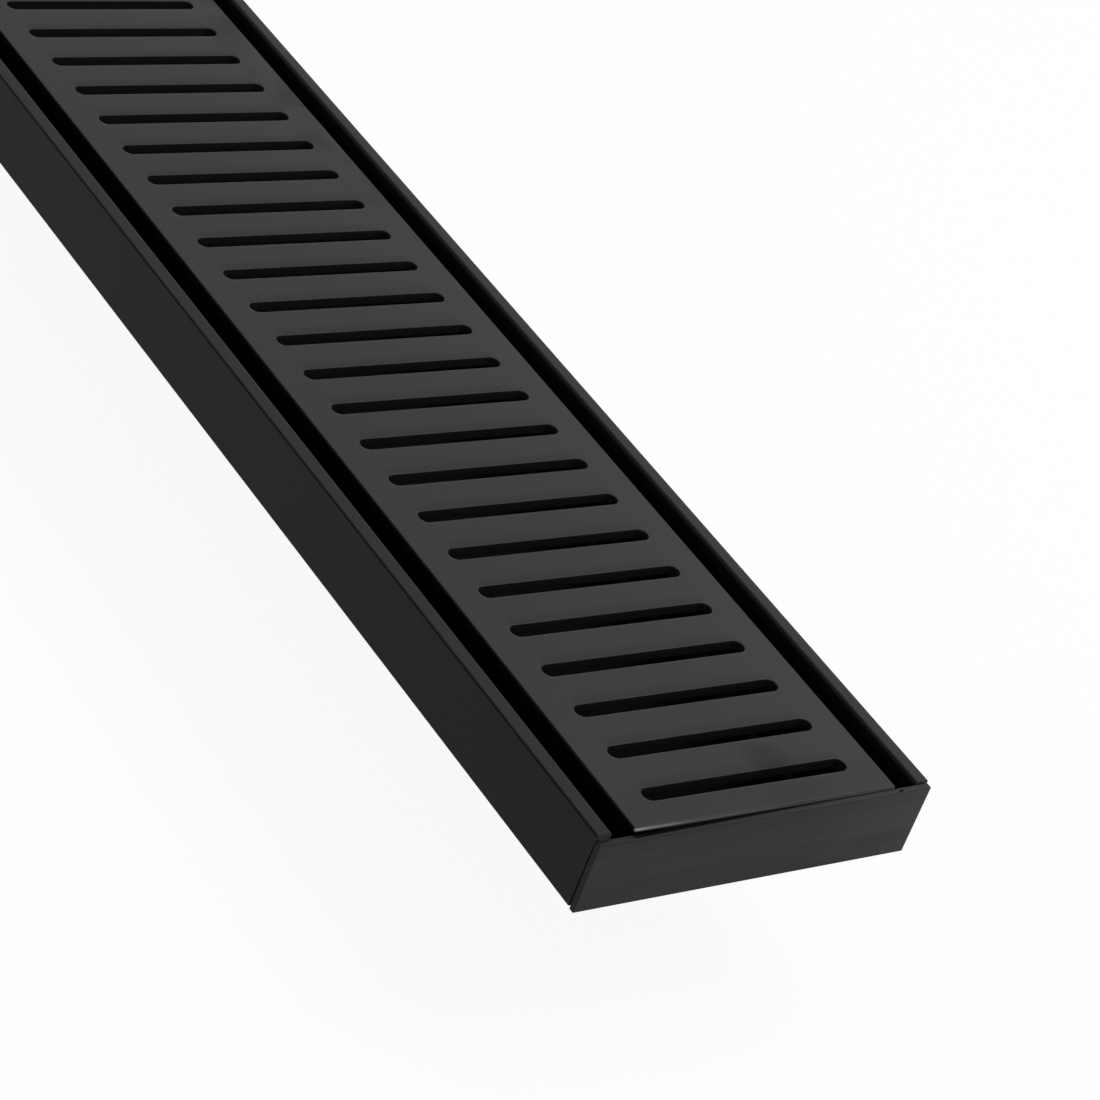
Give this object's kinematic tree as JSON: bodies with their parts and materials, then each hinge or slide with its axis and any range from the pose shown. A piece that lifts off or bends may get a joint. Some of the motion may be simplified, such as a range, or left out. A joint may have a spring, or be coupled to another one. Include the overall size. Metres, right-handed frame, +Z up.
{
  "type": "linear shower drain",
  "caption": "Shallow black channel for a shower floor, with bonded end plates, a loose slotted grate nearly flush with its rim, and a round outlet spigot clamped through its floor.",
  "frame": {"origin": "middle of the outlet spigot's lower end, under the middle of the channel", "axes": "+X along the channel towards the pictured end plate, +Y across it, +Z up out of the grate"},
  "size_m": [0.8, 0.1, 0.0625],
  "materials": {
    "channel_coat": "satin black coat",
    "end_plate_coat": "satin black coat",
    "grate_coat": "satin black coat",
    "seal_rubber": "matt",
    "pad_rubber": "matt",
    "outlet_plastic": "moulded"
  },
  "bodies": {
    "root": {"channel": "channel_coat", "front_end_plate": "end_plate_coat", "rear_end_plate": "end_plate_coat", "front_end_seal": "seal_rubber", "rear_end_seal": "seal_rubber", "grate": "grate_coat", "grate_pads": "pad_rubber", "outlet_spigot": "outlet_plastic", "outlet_washer": "pad_rubber", "outlet_nut": "outlet_plastic"}
  },
  "joints": []
}
